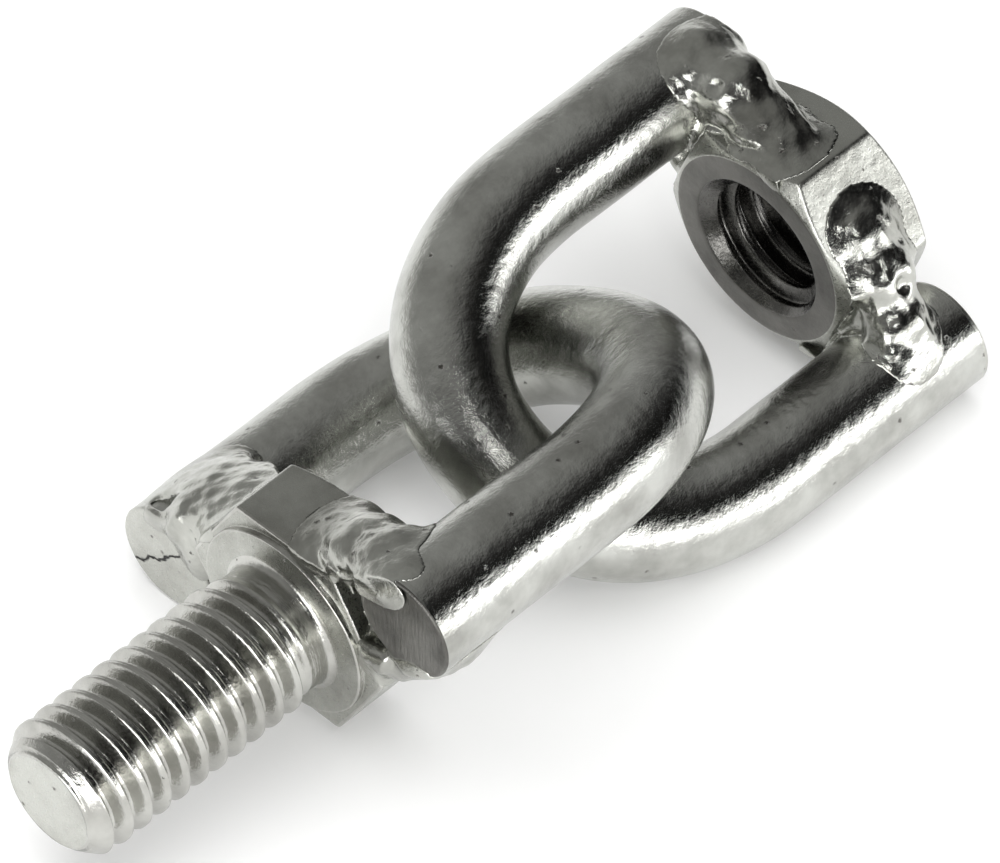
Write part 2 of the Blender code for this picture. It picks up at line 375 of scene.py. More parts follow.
@dataclass(frozen=True)
class Finishes:
    """Every finish on the coupling."""

    # Drawn bar, plated: glossy and nearly neutral, with a few pits.
    bar: ZincPlate = ZincPlate("bright_zinc_on_drawn_bar", "C6C7C2", "A0A09B", 0.15,
                               grain_mm=0.14, grain_depth_mm=0.021, pit_mm=2.1,
                               pit_share=0.05, pit_depth_mm=0.025)
    # Forged or machined flats: satin, so they show one even grey.
    flat: ZincPlate = ZincPlate("satin_zinc_on_forged_flat", "B6B7B1", "9A9A94", 0.30,
                                grain_mm=0.16, grain_depth_mm=0.012, pit_share=0.04)
    # Rolled thread: bright, with fine lines left by the rolling dies.
    thread: ZincPlate = ZincPlate("bright_zinc_on_rolled_thread", "C2C2BD", "A3A29D", 0.18,
                                  grain_mm=0.20, grain_depth_mm=0.020, pit_share=0.03,
                                  line_mm=0.12, line_depth_mm=0.012)
    # Nut faces: dull, and painted dark grey as painted shade and painted reflection of the dark bow
    # and room that they face.
    face: ZincPlate = ZincPlate("dull_zinc_on_nut_face_painted_shade", "7E7D79", "5D5C59", 0.36,
                                grain_mm=0.16, grain_depth_mm=0.014, pit_share=0.05)
    # Tapped thread: painted dark grey, as painted shade inside the nut's hole.
    bore_painted_shade: ZincPlate = ZincPlate("zinc_in_tapped_thread_painted_shade", "7A7976", "4B4A48", 0.24,
                                grain_mm=0.18, grain_depth_mm=0.016, pit_share=0.03)
    # Weld metal: glassy but rippled and pitted.
    weld: ZincPlate = ZincPlate("bright_zinc_on_weld", "BFC0BA", "94948E", 0.19,
                                grain_mm=0.24, grain_depth_mm=0.024, pit_mm=1.3,
                                pit_share=0.07, pit_depth_mm=0.05)
    # Sheared bar end: torn steel, dull and streaked across the cut.
    sheared: ZincPlate = ZincPlate("dull_zinc_on_sheared_end", "7D7C78", "545350", 0.38,
                                   grain_mm=0.14, grain_depth_mm=0.020, pit_share=0.05,
                                   line_mm=0.16, line_depth_mm=0.05,
                                   line_axis=(1.0, 1.0, 0.0))
    # Sawn or pressed end: flat and pale.
    faced: ZincPlate = ZincPlate("satin_zinc_on_faced_end", "C4C5BF", "ABABA5", 0.30,
                                 grain_mm=0.15, grain_depth_mm=0.012, pit_share=0.05)
    # The same, split by the press: a dark crack wanders across it.
    cracked: ZincPlate = ZincPlate("satin_zinc_on_cracked_end", "C4C5BF", "ABABA5", 0.30,
                                   grain_mm=0.15, grain_depth_mm=0.012, pit_share=0.05,
                                   crack=Crack(0.617, 0.787, 10.9))


# ---------------------------------------------------------------- mesh tools


@dataclass(frozen=True)
class LinkFrame:
    """Where a link's own frame lies in the coupling's frame.

    Fields:
        origin: the link frame's origin, in metres.
        roll: turn about the long axis, in radians.
        reverse: True where the link's x points along -X.
    """

    origin: Vector
    roll: float
    reverse: bool

    def place(self, points: Array) -> Array:
        """Turns points in the link's millimetres into the coupling's metres.

        Args:
            points: an array whose last axis is x, y, z.

        Returns:
            The same shape, in metres.
        """
        turn = Matrix.Rotation(self.roll, 3, "X")
        if self.reverse:
            turn = turn @ Matrix.Rotation(math.pi, 3, "Z")
        return points @ np.array(turn).T * MM + np.array(self.origin)


def mesh_object(name: str, points: Array, faces: list, bands: list[int],
                materials: list[bpy.types.Material]) -> bpy.types.Object:
    """Makes a smooth-shaded object.

    Args:
        name: the piece's name.
        points: vertex positions in metres.
        faces: vertex numbers of each face.
        bands: material number of each face.
        materials: the materials, in order.

    Returns:
        The linked object.
    """
    mesh = bpy.data.meshes.new(name)
    mesh.from_pydata(points.reshape(-1, 3).tolist(), [], faces)
    for material in materials:
        mesh.materials.append(material)
    mesh.polygons.foreach_set("material_index", bands)
    mesh.shade_smooth()
    mesh.update()
    piece = bpy.data.objects.new(name, mesh)
    bpy.context.scene.collection.objects.link(piece)
    return piece


@dataclass
class Skin:
    """A closed skin of rings, with the material of each ring and a point or a ring at its ends."""

    rings: list[Array] = field(default_factory=list)
    bands: list[int] = field(default_factory=list)

    def add(self, ring: Array, band: int) -> None:
        """Adds a ring whose faces back to the ring before it take a material."""
        self.rings.append(ring)
        self.bands.append(int(band))

    def build(self, name: str, place: LinkFrame, materials: list[bpy.types.Material],
              looped: bool = False) -> bpy.types.Object:
        """Joins the rings into a mesh.

        Args:
            name: the piece's name.
            place: the link's frame.
            materials: materials that the bands number.
            looped: True to join the last ring to the first, False to cap both with a point.

        Returns:
            The piece.
        """
        rings = np.array(self.rings)
        count, around = rings.shape[:2]
        points = rings.reshape(-1, 3)
        faces, bands = [], []
        for row in range(count if looped else count - 1):
            low = row * around
            high = (row + 1) % count * around
            band = self.bands[(row + 1) % count]
            for index in range(around):
                after = (index + 1) % around
                faces.append((low + index, low + after, high + after, high + index))
                bands.append(band)
        if not looped:
            points = np.vstack([points, rings[0].mean(0), rings[-1].mean(0)])
            first, last = len(points) - 2, len(points) - 1
            top = (count - 1) * around
            for index in range(around):
                after = (index + 1) % around
                faces.append((after, index, first))
                faces.append((top + index, top + after, last))
                bands += [self.bands[0], self.bands[-1]]
        piece = mesh_object(name, place.place(points), faces, bands, materials)
        face_outwards(piece)
        return piece


def face_outwards(piece: bpy.types.Object) -> None:
    """Turns every face of a closed mesh to face out.

    Args:
        piece: the piece to change.
    """
    maker = bmesh.new()
    maker.from_mesh(piece.data)
    bmesh.ops.recalc_face_normals(maker, faces=maker.faces)
    maker.to_mesh(piece.data)
    maker.free()


def smooth_step(low: float, high: float, value: Array) -> Array:
    """Rises smoothly from 0 at low to 1 at high."""
    share = np.clip((value - low) / (high - low), 0.0, 1.0)
    return share * share * (3 - 2 * share)


def soft_min(first: Array, second: Array, reach: Array | float) -> Array:
    """The smaller of two fields, rounded where they are within reach of each other."""
    share = np.clip(0.5 + 0.5 * (second - first) / reach, 0.0, 1.0)
    return second + (first - second) * share - reach * share * (1 - share)


def waves(first: Array, second: Array, size: float, seed: int) -> Array:
    """A smooth unevenness of about -1 to 1: sines of unrelated slopes.

    Args:
        first: one coordinate.
        second: the other coordinate.
        size: the length of the longest wave, in the coordinates' units.
        seed: picks the pattern.

    Returns:
        The height at each point.
    """
    random = np.random.default_rng(SEED + seed)
    height = 0.0
    for step in range(7):
        slope = random.uniform(0, 2 * math.pi)
        finer = 1 + 0.45 * step
        along = (first * math.cos(slope) + second * math.sin(slope)) * finer / size
        height = height + np.sin(2 * math.pi * (along + random.uniform(0, 1))) / (2.0 * finer)
    return height


@dataclass(frozen=True)
class Hexagon:
    """A hexagon with two flats facing the bow's legs, and softened corners.

    Fields:
        turn: degrees that it is turned from facing the legs squarely.
        flats: width across flats.
        corner_power: how sharp the corners are.
    """

    turn: float = 0.0
    flats: float = 14.29
    corner_power: float = 70.0

    @property
    def corner(self) -> float:
        """The radius to a sharp corner."""
        return self.flats / math.sqrt(3)

    def angles(self) -> Array:
        """Picks angles round the hexagon, closer together at its corners.

        Returns:
            The angles in radians.
        """
        half = np.array([0, 0.35, 0.8, 1.4, 2.2, 3.4, 5.0, 7.0, 9.5, 12.5, 16, 20, 25])
        sector = np.concatenate([half, [30], 60 - half[:0:-1]])
        first = 30 + self.turn
        return np.radians(np.concatenate([sector + first + 60 * number for number in range(6)]))

    def radius(self, angles: Array) -> Array:
        """Works out the radius to the hexagon's outline.

        Args:
            angles: angles in radians.

        Returns:
            The radius at each angle.
        """
        total = np.zeros_like(angles)
        for number in range(6):
            facing = np.maximum(np.cos(angles - math.radians(60 * number + self.turn)), 0.0)
            total += facing ** self.corner_power
        return self.flats / 2 / total ** (1 / self.corner_power)

    def distance(self, y: Array, z: Array, mirror: int) -> Array:
        """Works out the distance outside the flats.

        Args:
            y: one coordinate across the axis.
            z: the other.
            mirror: -1 where the frame is mirrored, else 1.

        Returns:
            The distance, negative inside.
        """
        outside = np.full_like(y, -np.inf)
        for number in range(6):
            angle = math.radians(60 * number + self.turn * mirror)
            outside = np.maximum(outside, y * math.cos(angle) + z * math.sin(angle))
        return outside - self.flats / 2


@dataclass(frozen=True)
class Thread:
    """A right-hand thread of 3/8 inch, 16 turns to the inch.

    Fields:
        radius: major radius.
        pitch: advance of one turn.
        depth: crest to root.
        crest: share of the pitch that the rounded crest takes.
        root: share of the pitch that the root takes.
    """

    radius: float = 4.7625
    pitch: float = 1.5875
    depth: float = 0.95
    crest: float = 0.20
    root: float = 0.16

    def height(self, x: Array, angles: Array) -> Array:
        """Works out the thread's height.

        Args:
            x: place along the axis.
            angles: places round it.

        Returns:
            The height above the root, from 0 to 1.
        """
        phase = np.mod(x / self.pitch - angles / (2 * math.pi), 1.0)
        off_crest = np.abs(phase - 0.5) * 2
        rise = 1 - smooth_step(self.crest * 0.6, 1 - self.root * 0.6, off_crest)
        flank = np.clip((1 - self.root - off_crest) / (1 - self.root - self.crest), 0.0, 1.0)
        return 0.55 * rise + 0.45 * flank

    def crest_line(self, x: Array, angles: Array) -> Array:
        """1 along the middle of the crest, where rolling leaves a fine seam."""
        phase = np.mod(x / self.pitch - angles / (2 * math.pi), 1.0)
        return np.exp(-((phase - 0.5) * self.pitch / 0.07) ** 2)


# ---------------------------------------------------------------- bolt


class BoltBand(IntEnum):
    """The bolt's finishes, in the order of its materials; the names are finishes."""

    FACED = 0
    THREAD = 1
    FLAT = 2


@dataclass
class Bolt:
    """The hex bolt: faced tip, rolled thread, plain neck, washer face and chamfered head.

    Its axis lies a little below the bow's plane. Its frame's x is 0 at the washer face. All
    sizes are in millimetres.

    Fields:
        place: the link's frame.
        finishes: the materials by name.
        stud_length: washer face to tip.
        tip_radius: radius of the tip's flat face.
        tip_chamfer: length of the tip's cone.
        tip_edge: rounding of the tip's rim.
        tip_sink: how far the tip's face lies below its rim.
        thread_inset: where the first ring of the thread lies behind the tip.
        seam_depth: depth of the seam along the crest.
        fade_pitches: how many pitches the thread takes to fade into the neck.
        fillet: rounding between the neck and the washer face.
        fillet_start: where the last ring of the neck lies before the washer face.
        washer_face: thickness of the washer face.
        washer_edge: rounding of its rim.
        head_edge: rounding of the hexagon's front edge.
        drop: how far the axis lies below the bow's plane.
    """

    place: LinkFrame
    finishes: dict[str, bpy.types.Material]
    hexagon: Hexagon = Hexagon()
    thread: Thread = Thread()
    stud_length: float = 19.8
    tip_radius: float = 3.6
    tip_chamfer: float = 1.4
    tip_edge: float = 0.25
    tip_sink: float = 0.06
    thread_inset: float = 0.3
    seam_depth: float = 0.035
    fade_pitches: float = 0.9
    neck_radius: float = 4.35
    neck_length: float = 1.5
    fillet: float = 0.5
    fillet_start: float = 0.55
    washer_radius: float = 6.7
    washer_face: float = 0.45
    washer_edge: float = 0.12
    head_edge: float = 0.14
    head_height: float = 6.0
    chamfer_radius: float = 6.9
    drop: float = 1.6
    rows_per_pitch: int = 22

    def _ring(self, x: Array | float, radius: Array | float) -> Array:
        """Makes a ring of points.

        Args:
            x: place along the axis, one number or one for each angle.
            radius: distance from the axis, one number or one for each angle.

        Returns:
            The points, in the link's frame.
        """
        angles = self.hexagon.angles()
        radius = np.broadcast_to(radius, angles.shape)
        return np.stack([np.broadcast_to(x, angles.shape), radius * np.cos(angles),
                         radius * np.sin(angles) - self.drop], axis=-1)

    def _stud_radius(self, x: float, angles: Array) -> Array:
        """Works out the stud's radius: thread, cut by the tip's cone, fading into the neck.

        Args:
            x: place along the axis.
            angles: places round it.

        Returns:
            The radius at each angle.
        """
        full = self.thread.radius - self.thread.depth * (1 - self.thread.height(x, angles))
        full = full - self.seam_depth * self.thread.crest_line(x, angles)
        fade_start = -self.neck_length - self.thread.pitch * self.fade_pitches
        into_neck = smooth_step(fade_start, -self.neck_length, np.array(x))
        radius = full + (self.neck_radius - full) * into_neck
        slope = (self.thread.radius - self.tip_radius) / self.tip_chamfer
        cone = self.tip_radius + (x + self.stud_length) * slope
        return soft_min(radius, np.full_like(radius, cone), 0.12)

    def _add_edge(self, skin: Skin, x: float, radius: Array | float, size: float,
                  shares: Array, band: BoltBand) -> None:
        """Adds the rounded edge between a face and the side behind it.

        Args:
            skin: the skin to add to.
            x: the face's place.
            radius: the side's radius.
            size: the rounding's radius.
            shares: which shares of the quarter turn get a ring.
            band: the finish.
        """
        for turn in shares * QUARTER_TURN:
            skin.add(self._ring(x + size * (1 - math.cos(turn)),
                                radius - size + size * math.sin(turn)), band)

    def _add_stud(self, skin: Skin) -> None:
        """Adds the tip's face, its edge, the thread, the neck and the neck's fillet.

        Args:
            skin: the skin to add to.
        """
        angles = self.hexagon.angles()
        for share in np.linspace(0.08, 1.0, 14):
            radius = (self.tip_radius - self.tip_edge) * share
            dish = 0.05 * waves(radius * np.cos(angles), radius * np.sin(angles), 3.0, 1)
            skin.add(self._ring(-self.stud_length + self.tip_sink + self.tip_sink * dish, radius),
                     BoltBand.FACED)
        self._add_edge(skin, -self.stud_length, self.tip_radius, self.tip_edge,
                       np.linspace(0.15, 1.0, 5), BoltBand.THREAD)
        first = -self.stud_length + self.thread_inset
        last = -self.fillet_start
        rows = int((last - first) / self.thread.pitch * self.rows_per_pitch)
        for x in np.linspace(first, last, rows):
            skin.add(self._ring(x, self._stud_radius(x, angles)), BoltBand.THREAD)
        for turn in np.linspace(0.1, 1.0, 7) * QUARTER_TURN:
            skin.add(self._ring(-self.fillet + self.fillet * math.sin(turn),
                                self.neck_radius + self.fillet * (1 - math.cos(turn))),
                     BoltBand.THREAD)

    def _add_washer_face(self, skin: Skin) -> None:
        """Adds the raised washer face and the hexagon's front round it.

        Args:
            skin: the skin to add to.
        """
        for radius in np.linspace(self.neck_radius + 0.6, self.washer_radius - self.washer_edge,
                                  8):
            skin.add(self._ring(0.0, radius), BoltBand.FLAT)
        self._add_edge(skin, 0.0, self.washer_radius, self.washer_edge,
                       np.linspace(0.2, 1.0, 5), BoltBand.THREAD)
        skin.add(self._ring(self.washer_face - 0.03, self.washer_radius), BoltBand.THREAD)
        outline = self.hexagon.radius(self.hexagon.angles())
        for share in (0.02, 0.1, 0.35, 0.65, 0.9):
            radius = self.washer_radius + (outline - self.head_edge - self.washer_radius) * share
            skin.add(self._ring(self.washer_face, radius), BoltBand.FLAT)
        self._add_edge(skin, self.washer_face, outline, self.head_edge,
                       np.linspace(0.0, 1.0, 5), BoltBand.THREAD)

    def _add_head(self, skin: Skin) -> None:
        """Adds the hexagon, its chamfered corners and the head's top.

        Args:
            skin: the skin to add to.
        """
        outline = self.hexagon.radius(self.hexagon.angles())
        depth = (self.hexagon.corner - self.chamfer_radius) * CHAMFER_SLOPE
        for x in np.concatenate([np.linspace(0.8, self.head_height - depth - 0.1, 10),
                                 self.head_height - depth * np.linspace(1.0, 0.06, 16)]):
            cone = self.chamfer_radius + (self.head_height - x) / CHAMFER_SLOPE
            radius = soft_min(outline, np.full_like(outline, cone), 0.18)
            skin.add(self._ring(x, radius), BoltBand.FLAT)
        for share in np.linspace(0.97, 0.05, 10):
            skin.add(self._ring(self.head_height, self.chamfer_radius * share), BoltBand.FLAT)

    def build(self) -> bpy.types.Object:
        """Builds the bolt as one closed skin, from the tip's centre to the head's.

        Returns:
            The bolt.
        """
        skin = Skin()
        self._add_stud(skin)
        self._add_washer_face(skin)
        self._add_head(skin)
        materials = [self.finishes[band.name.lower()] for band in BoltBand]
        return skin.build("hex_bolt_fine", self.place, materials)


# ---------------------------------------------------------------- nut


class NutBand(IntEnum):
    """The nut's finishes, in the order of its materials; the names are finishes."""

    FLAT = 0
    BORE_PAINTED_SHADE = 1
    FACE = 2


@dataclass
class Nut:
    """The hex nut: both faces chamfered, countersunk and threaded through.

    Its frame's x is 0 at the face that looks into the bow. All sizes are in millimetres.

    Fields:
        place: the link's frame.
        finishes: the materials by name.
        height: face to face.
        sink_radius: radius of the countersink at the face.
        sink_slope: how fast the countersink narrows.
        chamfer_radius: radius at which the outer chamfer meets the face.
        face_inset: how far the face's rings stop short of its two edges.
    """

    place: LinkFrame
    finishes: dict[str, bpy.types.Material]
    hexagon: Hexagon = Hexagon()
    thread: Thread = Thread(radius=4.86, crest=0.26, root=0.22)
    height: float = 7.7
    sink_radius: float = 5.15
    sink_slope: float = 0.9
    chamfer_radius: float = 6.9
    face_inset: tuple[float, float] = (0.08, 0.05)
    rows_per_pitch: int = 22

    def _ring(self, x: float, radius: Array | float) -> Array:
        """Makes a ring of points.

        Args:
            x: place along the axis.
            radius: distance from the axis, one number or one for each angle.

        Returns:
            The points, in the link's frame.
        """
        angles = self.hexagon.angles()
        radius = np.broadcast_to(radius, angles.shape)
        return np.stack([np.full(angles.shape, x), radius * np.cos(angles),
                         radius * np.sin(angles)], axis=-1)

    def _bore_radius(self, x: float, angles: Array) -> Array:
        """Works out the hole's radius: thread, opened by a cone at each face.

        Args:
            x: place along the axis.
            angles: places round it.

        Returns:
            The radius at each angle.
        """
        groove = self.thread.radius - self.thread.depth * (1 - self.thread.height(x, angles))
        cone = self.sink_radius - self.sink_slope * min(-x, x + self.height)
        return -soft_min(-groove, np.full_like(groove, -cone), 0.15)

    def build(self) -> bpy.types.Object:
        """Builds the nut as one closed ring of skin.

        Returns:
            The nut.
        """
        skin = Skin()
        angles = self.hexagon.angles()
        outline = self.hexagon.radius(angles)
        depth = (self.hexagon.corner - self.chamfer_radius) * CHAMFER_SLOPE
        inner = self.sink_radius + self.face_inset[0]
        outer = self.chamfer_radius - self.face_inset[1]
        # The faces take the finish that is painted dark grey as painted shade.
        for radius in np.linspace(inner, outer, 7):
            skin.add(self._ring(0.0, radius), NutBand.FACE)
        stations = np.concatenate([-depth * np.linspace(0.05, 1.0, 16),
                                   np.linspace(-depth - 0.2, -self.height + depth + 0.2, 12),
                                   -self.height + depth * np.linspace(1.0, 0.05, 16)])
        for x in stations:
            inside = min(-x, x + self.height)
            cone = np.full_like(outline, self.chamfer_radius + inside / CHAMFER_SLOPE)
            skin.add(self._ring(x, soft_min(outline, cone, 0.18)), NutBand.FLAT)
        for radius in np.linspace(outer, inner, 7):
            skin.add(self._ring(-self.height, radius), NutBand.FACE)
        # The thread in the hole takes the finish that is painted dark grey as painted shade.
        rows = int(self.height / self.thread.pitch * self.rows_per_pitch)
        for x in np.linspace(-self.height + 0.03, -0.03, rows):
            skin.add(self._ring(x, self._bore_radius(x, angles)), NutBand.BORE_PAINTED_SHADE)
        materials = [self.finishes[band.name.lower()] for band in NutBand]
        return skin.build("hex_nut_fine", self.place, materials, looped=True)


# ---------------------------------------------------------------- bows


class EndCut(Enum):
    """How a leg's end was cut; the values name finishes."""

    SHEARED = "sheared"
    PRESSED = "faced"
    CRACKED = "cracked"


@dataclass
class Bow:
    """A U-bow bent from round bar. All sizes are in millimetres.

    Fields:
        name: the piece's name.
        place: the link's frame.
        finishes: the materials by name.
        width: between the legs' centre lines.
        reach: from the frame's origin to the crown's centre line.
        crown: how much of the reach the rounded crown takes.
        starts: where the near and the far leg begin.
        cuts: how the near and the far leg end are cut.
        seed: picks the bar's unevenness.
        power: how square the crown is; 2 is an ellipse.
        edge: rounding of the cut ends' rims.
        shear_fall: how far a sheared end falls away at its top.
        around: points round the bar.
        step: spacing of the rings.
    """

    name: str
    place: LinkFrame
    finishes: dict[str, bpy.types.Material]
    width: float
    reach: float
    crown: float
    starts: tuple[float, float]
    cuts: tuple[EndCut, EndCut]
    seed: int
    bar_radius: float = 3.75
    power: float = 2.2
    edge: float = 0.22
    shear_fall: float = 0.28
    around: int = 80
    step: float = 0.32

    def centre_line(self) -> Array:
        """Lays evenly spaced points along the bar's centre line.

        Returns:
            x and y of each point.
        """
        straight = self.reach - self.crown
        angles = np.linspace(0, math.pi, 400)
        along = np.sin(angles) ** (2 / self.power)
        across = np.sign(np.cos(angles)) * np.abs(np.cos(angles)) ** (2 / self.power)
        crown = np.stack([straight + self.crown * along, -self.width / 2 * across], axis=-1)
        near = np.array([[self.starts[0], -self.width / 2]])
        far = np.array([[self.starts[1], self.width / 2]])
        line = np.vstack([near, crown, far])
        lengths = np.concatenate([[0], np.cumsum(np.linalg.norm(np.diff(line, axis=0), axis=1))])
        even = np.linspace(0, lengths[-1], int(lengths[-1] / self.step))
        return np.stack([np.interp(even, lengths, line[:, axis]) for axis in (0, 1)], axis=-1)

    def _face_rings(self, centre: Array, outward: Array, cut: EndCut) -> list[Array]:
        """Makes the rings of a cut end, from its rounded edge to its middle.

        Args:
            centre: x and y of the end's middle.
            outward: the direction that the end faces.
            cut: how the end was cut.

        Returns:
            The rings, in the link's frame.
        """
        turns = np.linspace(0, 2 * math.pi, self.around, endpoint=False)
        side = np.array([-outward[1], outward[0]])
        flat = self.bar_radius - self.edge
        profile = [(flat + self.edge * math.cos(turn), self.edge * (math.sin(turn) - 1), 0.0)
                   for turn in np.linspace(0.15, 1.0, 5) * QUARTER_TURN]
        profile += [(flat * share, 0.0, 1.0) for share in np.linspace(0.98, 0.03, 26)]
        rings = []
        for radius, out, rough in profile:
            first, second = radius * np.cos(turns), radius * np.sin(turns)
            height = 0.02 * waves(first, second, 3.4, self.seed + 5)
            if cut is EndCut.SHEARED:
                height = height - self.shear_fall * smooth_step(0.2, 1.0, second / self.bar_radius)
            out = out + rough * height
            rings.append(np.stack([centre[0] + outward[0] * out + side[0] * first,
                                   centre[1] + outward[1] * out + side[1] * first,
                                   second], axis=-1))
        return rings

    def build(self) -> bpy.types.Object:
        """Builds the bow as one closed skin, from one cut end to the other.

        Returns:
            The bow.
        """
        line = self.centre_line()
        turns = np.linspace(0, 2 * math.pi, self.around, endpoint=False)
        tangent = np.gradient(line, axis=0)
        tangent /= np.linalg.norm(tangent, axis=1)[:, None]
        skin = Skin()
        for ring in reversed(self._face_rings(line[0], -tangent[0], self.cuts[0])):
            skin.add(ring[self._looking_back()], 1)
        inset = int(self.edge / self.step) + 1
        for row in range(inset, len(line) - inset):
            travelled = row * self.step
            bulge = 0.022 * waves(travelled + 0 * turns, 3.2 * np.sin(turns) + 2.1 * np.cos(turns),
                                  11.0, self.seed)
            radius = self.bar_radius - 0.02 + bulge
            side = np.array([-tangent[row][1], tangent[row][0]])
            first = radius * np.cos(turns)
            skin.add(np.stack([line[row][0] + side[0] * first, line[row][1] + side[1] * first,
                               radius * np.sin(turns)], axis=-1), 0)
        for ring in self._face_rings(line[-1], tangent[-1], self.cuts[1]):
            skin.add(ring, 2)
        materials = [self.finishes["bar"], *(self.finishes[cut.value] for cut in self.cuts)]
        return skin.build(self.name, self.place, materials)

    def _looking_back(self) -> Array:
        """Point numbers that match rings drawn looking back to rings drawn looking on."""
        return (self.around // 2 - np.arange(self.around)) % self.around


# ---------------------------------------------------------------- welds


@dataclass(frozen=True)
class Lump:
    """A rounded lump of weld metal: centre and half sizes, in a bead's own frame.

    A bead's frame is the link's, mirrored so that the leg is at +y and the bead at +z.
    """

    x: float
    y: float
    z: float
    half_x: float
    half_y: float
    half_z: float

    def distance(self, x: Array, y: Array, z: Array) -> Array:
        """Works out about how far each point is outside the lump.

        Args:
            x: places along the link.
            y: places towards the leg.
            z: places off the bow's plane.

        Returns:
            The distances, negative inside.
        """
        scaled = np.sqrt(((x - self.x) / self.half_x) ** 2 + ((y - self.y) / self.half_y) ** 2
                         + ((z - self.z) / self.half_z) ** 2)
        return (scaled - 1) * min(self.half_x, self.half_y, self.half_z)


@dataclass(frozen=True)
class Bead:
    """One weld bead between a hexagon's flat and a leg.

    Fields:
        name: the CAD node that it stands for.
        side: -1 on the near leg, 1 on the far leg.
        level: 1 above the bow's plane, -1 below.
        start: where along the link the fillet begins.
        end: where it ends.
        fill: how widely the fillet blends the two surfaces.
        lumps: extra metal.
        pits: holes, as lumps that are taken away.
    """

    name: str
    side: int
    level: int
    start: float
    end: float
    fill: float
    lumps: tuple[Lump, ...] = ()
    pits: tuple[Lump, ...] = ()


@dataclass
class Welds:
    """The four beads that hold a hexagon between a bow's legs, grown as one surface each.

    Each bead is the space where the rounded union of the flat, the leg and the lumps stands
    clear of both, so that it meets them at a shallow toe as molten metal does.

    Fields:
        place: the link's frame.
        finishes: the materials by name.
        beads: the four beads.
        hexagon: the head or nut between the legs.
        low: the hexagon's lowest x.
        high: its highest x.
        drop: how far its axis lies below the bow's plane.
        width: between the legs' centre lines.
        starts: where the near and the far leg begin.
        step: spacing of the grid that the beads grow in.
        overlap: how far a bead runs into the metal under it.
        toe: thinnest metal at a bead's edge.
        lump_blend: how widely a lump blends into the bead.
        pit_blend: how widely a pit's rim is rounded.
        ripple: height of the ripples left by the arc.
        fine_ripple: height of the finer unevenness on them.
        underside: how far a bead reaches past the bow's plane.
    """

    place: LinkFrame
    finishes: dict[str, bpy.types.Material]
    beads: tuple[Bead, ...]
    hexagon: Hexagon
    low: float
    high: float
    drop: float
    width: float
    starts: tuple[float, float]
    bar_radius: float = 3.75
    step: float = 0.13
    overlap: float = 0.14
    toe: float = 0.05
    lump_blend: float = 1.1
    pit_blend: float = 0.4
    ripple: float = 0.07
    fine_ripple: float = 0.012
    underside: float = 0.9

    def _solid_distances(self, bead: Bead, x: Array, y: Array, z: Array) -> tuple[Array, Array]:
        """Works out the distances from each point to the metal that a bead joins.

        Args:
            bead: the bead, for its side and level.
            x: places along the link.
            y: places towards the leg.
            z: places off the bow's plane.

        Returns:
            The distances to the leg and to the hexagon.
        """
        start = self.starts[0] if bead.side < 0 else self.starts[1]
        round_off = np.hypot(y - self.width / 2, z) - self.bar_radius + 0.02
        leg = np.maximum(round_off, start - x)
        block = self.hexagon.distance(y, z + bead.level * self.drop, bead.side * bead.level)
        return leg, np.maximum(block, np.maximum(self.low - x, x - self.high))

    def _field(self, bead: Bead, x: Array, y: Array, z: Array, seed: int) -> Array:
        """Works out the field whose zero is the bead's surface.

        Args:
            bead: the bead.
            x: places along the link.
            y: places towards the leg.
            z: places off the bow's plane.
            seed: picks the ripples.

        Returns:
            The field, negative inside the bead.
        """
        leg, block = self._solid_distances(bead, x, y, z)
        window = smooth_step(bead.start - 0.6, bead.start + 0.9, x)
        window = window * (1 - smooth_step(bead.end - 1.3, bead.end + 0.8, x))
        window = window * smooth_step(-1.2, 0.8, z)
        metal = soft_min(leg, block, 0.05 + bead.fill * window)
        for lump in bead.lumps:
            metal = soft_min(metal, lump.distance(x, y, z), self.lump_blend)
        for pit in bead.pits:
            metal = -soft_min(-metal, pit.distance(x, y, z), self.pit_blend)
        ripple = (self.ripple * waves(x * 1.3, y + z, 3.4, seed)
                  + self.fine_ripple * waves(x, z - y, 1.2, seed + 3))
        nearest = np.minimum(leg, block)
        proud = nearest - metal
        metal = metal + ripple * smooth_step(0.05, 0.6, proud)
        metal = np.maximum(metal, 4 * (self.toe - proud))
        metal = np.maximum(metal, -(nearest + self.overlap))
        return np.maximum(metal, -z - self.underside)

    def build(self) -> list[bpy.types.Object]:
        """Builds every bead.

        Returns:
            The pieces, in the order of the beads.
        """
        pieces = []
        for number, bead in enumerate(self.beads):
            outer = self.width / 2 + self.bar_radius
            corner = np.array([bead.start - 2.4, -1.2, -1.4])
            far = np.array([bead.end + 2.4, outer + 0.8, 9.6])
            axes = [np.arange(corner[axis], far[axis], self.step) for axis in range(3)]
            x, y, z = np.meshgrid(*axes, indexing="ij")
            values = self._field(bead, x, y, z, 11 * number)
            points, numbers = net_points(values)
            faces = net_faces(values, numbers)
            points = corner + points * self.step
            points[:, 1] *= bead.side
            points[:, 2] *= bead.level
            piece = mesh_object(bead.name + "_fine", self.place.place(points), faces,
                                [0] * len(faces), [self.finishes["weld"]])
            relax(piece, times=4)
            face_outwards(piece)
            pieces.append(piece)
        return pieces


